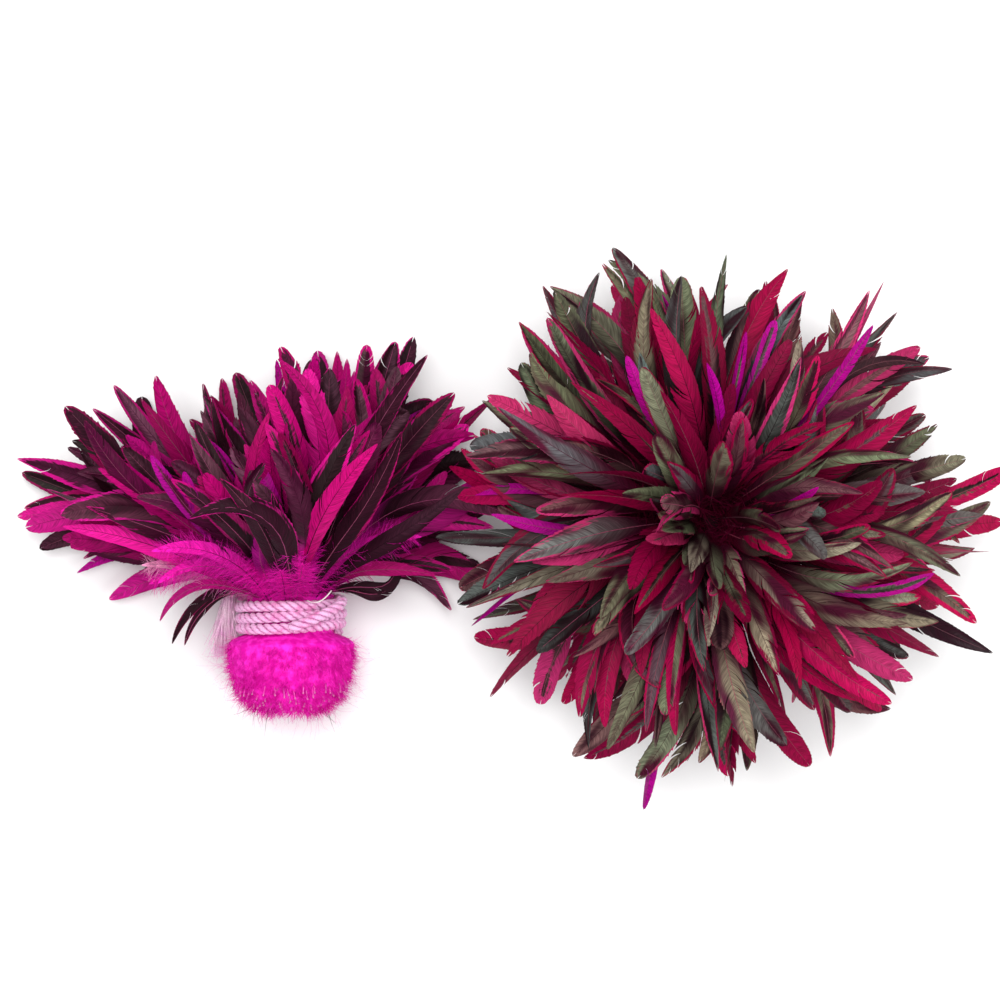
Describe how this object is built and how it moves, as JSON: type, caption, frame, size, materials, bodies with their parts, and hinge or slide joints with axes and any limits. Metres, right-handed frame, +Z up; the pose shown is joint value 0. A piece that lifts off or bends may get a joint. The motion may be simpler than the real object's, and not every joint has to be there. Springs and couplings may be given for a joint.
{
  "type": "strung feather bundle pair",
  "caption": "Two roped rolls of dyed strung rooster feathers for boa trim: one stands on its quill ends spread like a flower, one lies on its side fanned out.",
  "frame": {"origin": "centre of the standing bundle's resting face, on the surface that both bundles rest on", "axes": "+Z up; +X from the lying bundle towards the standing one, along the pair's longest extent; +Y along the lying bundle from its quill ends to its feathers"},
  "size_m": [0.4649, 0.2588, 0.1635],
  "materials": {
    "feather_crimson": "dyed bronze-black feather vane with crimson edges, satin sheen along the barbs",
    "feather_magenta": "dyed maroon-black feather vane with magenta edges, satin sheen along the barbs",
    "quill_fluff": "hot magenta down over glossy quill ends",
    "tie_rope": "pale pink three-strand twisted soft cotton rope, matte and hairy",
    "stitch_cord": "matte off-white cotton thread"
  },
  "bodies": {
    "standing_core": {"standing_quill_roll": "quill_fluff", "standing_stitch_cord_lower": "stitch_cord", "standing_stitch_cord_upper": "stitch_cord", "standing_tie_rope": "tie_rope", "standing_tie_lap": "tie_rope"},
    "standing_tail": {"standing_tie_tail": "tie_rope"},
    "lying_core": {"lying_quill_roll": "quill_fluff", "lying_stitch_cord_lower": "stitch_cord", "lying_stitch_cord_upper": "stitch_cord", "lying_tie_rope": "tie_rope", "lying_tie_lap": "tie_rope", "lying_floor_spray_1": "feather_magenta", "lying_floor_spray_2": "feather_magenta", "lying_floor_spray_3": "feather_magenta", "lying_floor_spray_4": "feather_magenta", "lying_floor_spray_5": "feather_magenta"},
    "lying_tail": {"lying_tie_tail": "tie_rope"},
    "standing_inner_spray_1": {"standing_inner_spray_1": "feather_crimson"},
    "standing_inner_spray_2": {"standing_inner_spray_2": "feather_crimson"},
    "standing_inner_spray_3": {"standing_inner_spray_3": "feather_crimson"},
    "standing_inner_spray_4": {"standing_inner_spray_4": "feather_crimson"},
    "standing_inner_spray_5": {"standing_inner_spray_5": "feather_crimson"},
    "standing_middle_spray_1": {"standing_middle_spray_1": "feather_crimson"},
    "standing_middle_spray_2": {"standing_middle_spray_2": "feather_crimson"},
    "standing_middle_spray_3": {"standing_middle_spray_3": "feather_crimson"},
    "standing_middle_spray_4": {"standing_middle_spray_4": "feather_crimson"},
    "standing_middle_spray_5": {"standing_middle_spray_5": "feather_crimson"},
    "standing_middle_spray_6": {"standing_middle_spray_6": "feather_crimson"},
    "standing_middle_spray_7": {"standing_middle_spray_7": "feather_crimson"},
    "standing_outer_spray_1": {"standing_outer_spray_1": "feather_crimson"},
    "standing_outer_spray_2": {"standing_outer_spray_2": "feather_crimson"},
    "standing_outer_spray_3": {"standing_outer_spray_3": "feather_crimson"},
    "standing_outer_spray_4": {"standing_outer_spray_4": "feather_crimson"},
    "standing_outer_spray_5": {"standing_outer_spray_5": "feather_crimson"},
    "standing_outer_spray_6": {"standing_outer_spray_6": "feather_crimson"},
    "standing_outer_spray_7": {"standing_outer_spray_7": "feather_crimson"},
    "standing_outer_spray_8": {"standing_outer_spray_8": "feather_crimson"},
    "lying_low_spray_1": {"lying_low_spray_1": "feather_magenta"},
    "lying_low_spray_2": {"lying_low_spray_2": "feather_magenta"},
    "lying_low_spray_3": {"lying_low_spray_3": "feather_magenta"},
    "lying_low_spray_4": {"lying_low_spray_4": "feather_magenta"},
    "lying_low_spray_5": {"lying_low_spray_5": "feather_magenta"},
    "lying_low_spray_6": {"lying_low_spray_6": "feather_magenta"},
    "lying_mid_spray_1": {"lying_mid_spray_1": "feather_magenta"},
    "lying_mid_spray_2": {"lying_mid_spray_2": "feather_magenta"},
    "lying_mid_spray_3": {"lying_mid_spray_3": "feather_magenta"},
    "lying_mid_spray_4": {"lying_mid_spray_4": "feather_magenta"},
    "lying_mid_spray_5": {"lying_mid_spray_5": "feather_magenta"},
    "lying_high_spray_1": {"lying_high_spray_1": "feather_magenta"},
    "lying_high_spray_2": {"lying_high_spray_2": "feather_magenta"},
    "lying_high_spray_3": {"lying_high_spray_3": "feather_magenta"},
    "lying_high_spray_4": {"lying_high_spray_4": "feather_magenta"},
    "lying_top_spray_1": {"lying_top_spray_1": "feather_magenta"},
    "lying_top_spray_2": {"lying_top_spray_2": "feather_magenta"}
  },
  "joints": [
    {"name": "bundles_apart", "type": "slide", "parent": "standing_core", "child": "lying_core", "axis": [-1, 0, 0], "range_m": [0, 0.16]},
    {"name": "standing_gather", "type": "hinge", "parent": "standing_core", "child": "standing_outer_spray_1", "pos_m": [0.01799, 0.00745, 0.06375], "axis": [0.3827, -0.9239, 0], "range_deg": [-6, 20], "stiffness_Nm_per_rad": 0.12},
    {"name": "lying_press", "type": "hinge", "parent": "lying_core", "child": "lying_top_spray_1", "pos_m": [-0.21639, -0.03325, 0.04806], "axis": [-0.9135, -0.4067, 0], "range_deg": [-2, 10], "stiffness_Nm_per_rad": 0.12},
    {"name": "standing_inner_1_bend", "type": "hinge", "parent": "standing_core", "child": "standing_inner_spray_1", "pos_m": [0.00424, 0.00308, 0.06375], "axis": [0.5878, -0.809, 0], "range_deg": [-1.51, 5.01], "stiffness_Nm_per_rad": 0.12},
    {"name": "standing_inner_2_bend", "type": "hinge", "parent": "standing_core", "child": "standing_inner_spray_2", "pos_m": [-0.00162, 0.00498, 0.06375], "axis": [0.9511, 0.309, 0], "range_deg": [-1.51, 5.01], "stiffness_Nm_per_rad": 0.12},
    {"name": "standing_inner_3_bend", "type": "hinge", "parent": "standing_core", "child": "standing_inner_spray_3", "pos_m": [-0.00524, 0, 0.06375], "axis": [0, 1, 0], "range_deg": [-1.51, 5.01], "stiffness_Nm_per_rad": 0.12},
    {"name": "standing_inner_4_bend", "type": "hinge", "parent": "standing_core", "child": "standing_inner_spray_4", "pos_m": [-0.00162, -0.00498, 0.06375], "axis": [-0.9511, 0.309, 0], "range_deg": [-1.51, 5.01], "stiffness_Nm_per_rad": 0.12},
    {"name": "standing_inner_5_bend", "type": "hinge", "parent": "standing_core", "child": "standing_inner_spray_5", "pos_m": [0.00424, -0.00308, 0.06375], "axis": [-0.5878, -0.809, 0], "range_deg": [-1.51, 5.01], "stiffness_Nm_per_rad": 0.12},
    {"name": "standing_middle_1_bend", "type": "hinge", "parent": "standing_core", "child": "standing_middle_spray_1", "pos_m": [0.01129, 0.00543, 0.06375], "axis": [0.4339, -0.901, 0], "range_deg": [-3.91, 13.01], "stiffness_Nm_per_rad": 0.12},
    {"name": "standing_middle_2_bend", "type": "hinge", "parent": "standing_core", "child": "standing_middle_spray_2", "pos_m": [0.00279, 0.01221, 0.06375], "axis": [0.9749, -0.2225, 0], "range_deg": [-3.91, 13.01], "stiffness_Nm_per_rad": 0.12},
    {"name": "standing_middle_3_bend", "type": "hinge", "parent": "standing_core", "child": "standing_middle_spray_3", "pos_m": [-0.00781, 0.00979, 0.06375], "axis": [0.7818, 0.6235, 0], "range_deg": [-3.91, 13.01], "stiffness_Nm_per_rad": 0.12},
    {"name": "standing_middle_4_bend", "type": "hinge", "parent": "standing_core", "child": "standing_middle_spray_4", "pos_m": [-0.01253, 0, 0.06375], "axis": [0, 1, 0], "range_deg": [-3.91, 13.01], "stiffness_Nm_per_rad": 0.12},
    {"name": "standing_middle_5_bend", "type": "hinge", "parent": "standing_core", "child": "standing_middle_spray_5", "pos_m": [-0.00781, -0.00979, 0.06375], "axis": [-0.7818, 0.6235, 0], "range_deg": [-3.91, 13.01], "stiffness_Nm_per_rad": 0.12},
    {"name": "standing_middle_6_bend", "type": "hinge", "parent": "standing_core", "child": "standing_middle_spray_6", "pos_m": [0.00279, -0.01221, 0.06375], "axis": [-0.9749, -0.2225, 0], "range_deg": [-3.91, 13.01], "stiffness_Nm_per_rad": 0.12},
    {"name": "standing_middle_7_bend", "type": "hinge", "parent": "standing_core", "child": "standing_middle_spray_7", "pos_m": [0.01129, -0.00543, 0.06375], "axis": [-0.4339, -0.901, 0], "range_deg": [-3.91, 13.01], "stiffness_Nm_per_rad": 0.12},
    {"name": "standing_outer_2_bend", "type": "hinge", "parent": "standing_core", "child": "standing_outer_spray_2", "pos_m": [0.00745, 0.01799, 0.06375], "axis": [0.9239, -0.3827, 0], "range_deg": [-6.01, 20.01], "stiffness_Nm_per_rad": 0.12},
    {"name": "standing_outer_3_bend", "type": "hinge", "parent": "standing_core", "child": "standing_outer_spray_3", "pos_m": [-0.00745, 0.01799, 0.06375], "axis": [0.9239, 0.3827, 0], "range_deg": [-6.01, 20.01], "stiffness_Nm_per_rad": 0.12},
    {"name": "standing_outer_4_bend", "type": "hinge", "parent": "standing_core", "child": "standing_outer_spray_4", "pos_m": [-0.01799, 0.00745, 0.06375], "axis": [0.3827, 0.9239, 0], "range_deg": [-6.01, 20.01], "stiffness_Nm_per_rad": 0.12},
    {"name": "standing_outer_5_bend", "type": "hinge", "parent": "standing_core", "child": "standing_outer_spray_5", "pos_m": [-0.01799, -0.00745, 0.06375], "axis": [-0.3827, 0.9239, 0], "range_deg": [-6.01, 20.01], "stiffness_Nm_per_rad": 0.12},
    {"name": "standing_outer_6_bend", "type": "hinge", "parent": "standing_core", "child": "standing_outer_spray_6", "pos_m": [-0.00745, -0.01799, 0.06375], "axis": [-0.9239, 0.3827, 0], "range_deg": [-6.01, 20.01], "stiffness_Nm_per_rad": 0.12},
    {"name": "standing_outer_7_bend", "type": "hinge", "parent": "standing_core", "child": "standing_outer_spray_7", "pos_m": [0.00745, -0.01799, 0.06375], "axis": [-0.9239, -0.3827, 0], "range_deg": [-6.01, 20.01], "stiffness_Nm_per_rad": 0.12},
    {"name": "standing_outer_8_bend", "type": "hinge", "parent": "standing_core", "child": "standing_outer_spray_8", "pos_m": [0.01799, -0.00745, 0.06375], "axis": [-0.3827, -0.9239, 0], "range_deg": [-6.01, 20.01], "stiffness_Nm_per_rad": 0.12},
    {"name": "lying_low_1_bend", "type": "hinge", "parent": "lying_core", "child": "lying_low_spray_1", "pos_m": [-0.22613, -0.03325, 0.0246], "axis": [-0.2952, -0.9555, 0], "range_deg": [-0.31, 1.51], "stiffness_Nm_per_rad": 0.12},
    {"name": "lying_low_2_bend", "type": "hinge", "parent": "lying_core", "child": "lying_low_spray_2", "pos_m": [-0.21968, -0.03325, 0.0246], "axis": [-0.6884, -0.7254, 0], "range_deg": [-0.31, 1.51], "stiffness_Nm_per_rad": 0.12},
    {"name": "lying_low_3_bend", "type": "hinge", "parent": "lying_core", "child": "lying_low_spray_3", "pos_m": [-0.21322, -0.03325, 0.0246], "axis": [-0.9387, -0.3448, 0], "range_deg": [-0.31, 1.51], "stiffness_Nm_per_rad": 0.12},
    {"name": "lying_low_4_bend", "type": "hinge", "parent": "lying_core", "child": "lying_low_spray_4", "pos_m": [-0.20677, -0.03325, 0.0246], "axis": [-0.9942, 0.1074, 0], "range_deg": [-0.31, 1.51], "stiffness_Nm_per_rad": 0.12},
    {"name": "lying_low_5_bend", "type": "hinge", "parent": "lying_core", "child": "lying_low_spray_5", "pos_m": [-0.20032, -0.03325, 0.0246], "axis": [-0.8434, 0.5373, 0], "range_deg": [-0.31, 1.51], "stiffness_Nm_per_rad": 0.12},
    {"name": "lying_low_6_bend", "type": "hinge", "parent": "lying_core", "child": "lying_low_spray_6", "pos_m": [-0.19387, -0.03325, 0.0246], "axis": [-0.5175, 0.8557, 0], "range_deg": [-0.31, 1.51], "stiffness_Nm_per_rad": 0.12},
    {"name": "lying_mid_1_bend", "type": "hinge", "parent": "lying_core", "child": "lying_mid_spray_1", "pos_m": [-0.22597, -0.03325, 0.03257], "axis": [-0.3939, -0.9191, 0], "range_deg": [-0.81, 4.01], "stiffness_Nm_per_rad": 0.12},
    {"name": "lying_mid_2_bend", "type": "hinge", "parent": "lying_core", "child": "lying_mid_spray_2", "pos_m": [-0.21798, -0.03325, 0.03257], "axis": [-0.7145, -0.6997, 0], "range_deg": [-0.81, 4.01], "stiffness_Nm_per_rad": 0.12},
    {"name": "lying_mid_3_bend", "type": "hinge", "parent": "lying_core", "child": "lying_mid_spray_3", "pos_m": [-0.21, -0.03325, 0.03257], "axis": [-0.9272, -0.3746, 0], "range_deg": [-0.81, 4.01], "stiffness_Nm_per_rad": 0.12},
    {"name": "lying_mid_4_bend", "type": "hinge", "parent": "lying_core", "child": "lying_mid_spray_4", "pos_m": [-0.20202, -0.03325, 0.03257], "axis": [-1, 0.007, 0], "range_deg": [-0.81, 4.01], "stiffness_Nm_per_rad": 0.12},
    {"name": "lying_mid_5_bend", "type": "hinge", "parent": "lying_core", "child": "lying_mid_spray_5", "pos_m": [-0.19403, -0.03325, 0.03257], "axis": [-0.9219, 0.3875, 0], "range_deg": [-0.81, 4.01], "stiffness_Nm_per_rad": 0.12},
    {"name": "lying_high_1_bend", "type": "hinge", "parent": "lying_core", "child": "lying_high_spray_1", "pos_m": [-0.2235, -0.03325, 0.04054], "axis": [-0.6053, -0.796, 0], "range_deg": [-1.41, 7.01], "stiffness_Nm_per_rad": 0.12},
    {"name": "lying_high_2_bend", "type": "hinge", "parent": "lying_core", "child": "lying_high_spray_2", "pos_m": [-0.2145, -0.03325, 0.04054], "axis": [-0.8638, -0.5038, 0], "range_deg": [-1.41, 7.01], "stiffness_Nm_per_rad": 0.12},
    {"name": "lying_high_3_bend", "type": "hinge", "parent": "lying_core", "child": "lying_high_spray_3", "pos_m": [-0.2055, -0.03325, 0.04054], "axis": [-0.9909, -0.1349, 0], "range_deg": [-1.41, 7.01], "stiffness_Nm_per_rad": 0.12},
    {"name": "lying_high_4_bend", "type": "hinge", "parent": "lying_core", "child": "lying_high_spray_4", "pos_m": [-0.1965, -0.03325, 0.04054], "axis": [-0.967, 0.2546, 0], "range_deg": [-1.41, 7.01], "stiffness_Nm_per_rad": 0.12},
    {"name": "lying_top_2_bend", "type": "hinge", "parent": "lying_core", "child": "lying_top_spray_2", "pos_m": [-0.20361, -0.03325, 0.04806], "axis": [-1, 0, 0], "range_deg": [-2.01, 10.01], "stiffness_Nm_per_rad": 0.12},
    {"name": "standing_tail_swing", "type": "hinge", "parent": "standing_core", "child": "standing_tail", "pos_m": [-0.03118, 0, 0.05815], "axis": [0, 1, 0], "range_deg": [0, 40]},
    {"name": "lying_tail_swing", "type": "hinge", "parent": "lying_core", "child": "lying_tail", "pos_m": [-0.24118, -0.03885, 0.03052], "axis": [0, 0, -1], "range_deg": [0, 40]}
  ],
  "couplings": [
    {"joint": "standing_inner_1_bend", "follows": "standing_gather", "ratio": 0.25},
    {"joint": "standing_inner_2_bend", "follows": "standing_gather", "ratio": 0.25},
    {"joint": "standing_inner_3_bend", "follows": "standing_gather", "ratio": 0.25},
    {"joint": "standing_inner_4_bend", "follows": "standing_gather", "ratio": 0.25},
    {"joint": "standing_inner_5_bend", "follows": "standing_gather", "ratio": 0.25},
    {"joint": "standing_middle_1_bend", "follows": "standing_gather", "ratio": 0.65},
    {"joint": "standing_middle_2_bend", "follows": "standing_gather", "ratio": 0.65},
    {"joint": "standing_middle_3_bend", "follows": "standing_gather", "ratio": 0.65},
    {"joint": "standing_middle_4_bend", "follows": "standing_gather", "ratio": 0.65},
    {"joint": "standing_middle_5_bend", "follows": "standing_gather", "ratio": 0.65},
    {"joint": "standing_middle_6_bend", "follows": "standing_gather", "ratio": 0.65},
    {"joint": "standing_middle_7_bend", "follows": "standing_gather", "ratio": 0.65},
    {"joint": "standing_outer_2_bend", "follows": "standing_gather", "ratio": 1},
    {"joint": "standing_outer_3_bend", "follows": "standing_gather", "ratio": 1},
    {"joint": "standing_outer_4_bend", "follows": "standing_gather", "ratio": 1},
    {"joint": "standing_outer_5_bend", "follows": "standing_gather", "ratio": 1},
    {"joint": "standing_outer_6_bend", "follows": "standing_gather", "ratio": 1},
    {"joint": "standing_outer_7_bend", "follows": "standing_gather", "ratio": 1},
    {"joint": "standing_outer_8_bend", "follows": "standing_gather", "ratio": 1},
    {"joint": "lying_low_1_bend", "follows": "lying_press", "ratio": 0.15},
    {"joint": "lying_low_2_bend", "follows": "lying_press", "ratio": 0.15},
    {"joint": "lying_low_3_bend", "follows": "lying_press", "ratio": 0.15},
    {"joint": "lying_low_4_bend", "follows": "lying_press", "ratio": 0.15},
    {"joint": "lying_low_5_bend", "follows": "lying_press", "ratio": 0.15},
    {"joint": "lying_low_6_bend", "follows": "lying_press", "ratio": 0.15},
    {"joint": "lying_mid_1_bend", "follows": "lying_press", "ratio": 0.4},
    {"joint": "lying_mid_2_bend", "follows": "lying_press", "ratio": 0.4},
    {"joint": "lying_mid_3_bend", "follows": "lying_press", "ratio": 0.4},
    {"joint": "lying_mid_4_bend", "follows": "lying_press", "ratio": 0.4},
    {"joint": "lying_mid_5_bend", "follows": "lying_press", "ratio": 0.4},
    {"joint": "lying_high_1_bend", "follows": "lying_press", "ratio": 0.7},
    {"joint": "lying_high_2_bend", "follows": "lying_press", "ratio": 0.7},
    {"joint": "lying_high_3_bend", "follows": "lying_press", "ratio": 0.7},
    {"joint": "lying_high_4_bend", "follows": "lying_press", "ratio": 0.7},
    {"joint": "lying_top_2_bend", "follows": "lying_press", "ratio": 1}
  ]
}
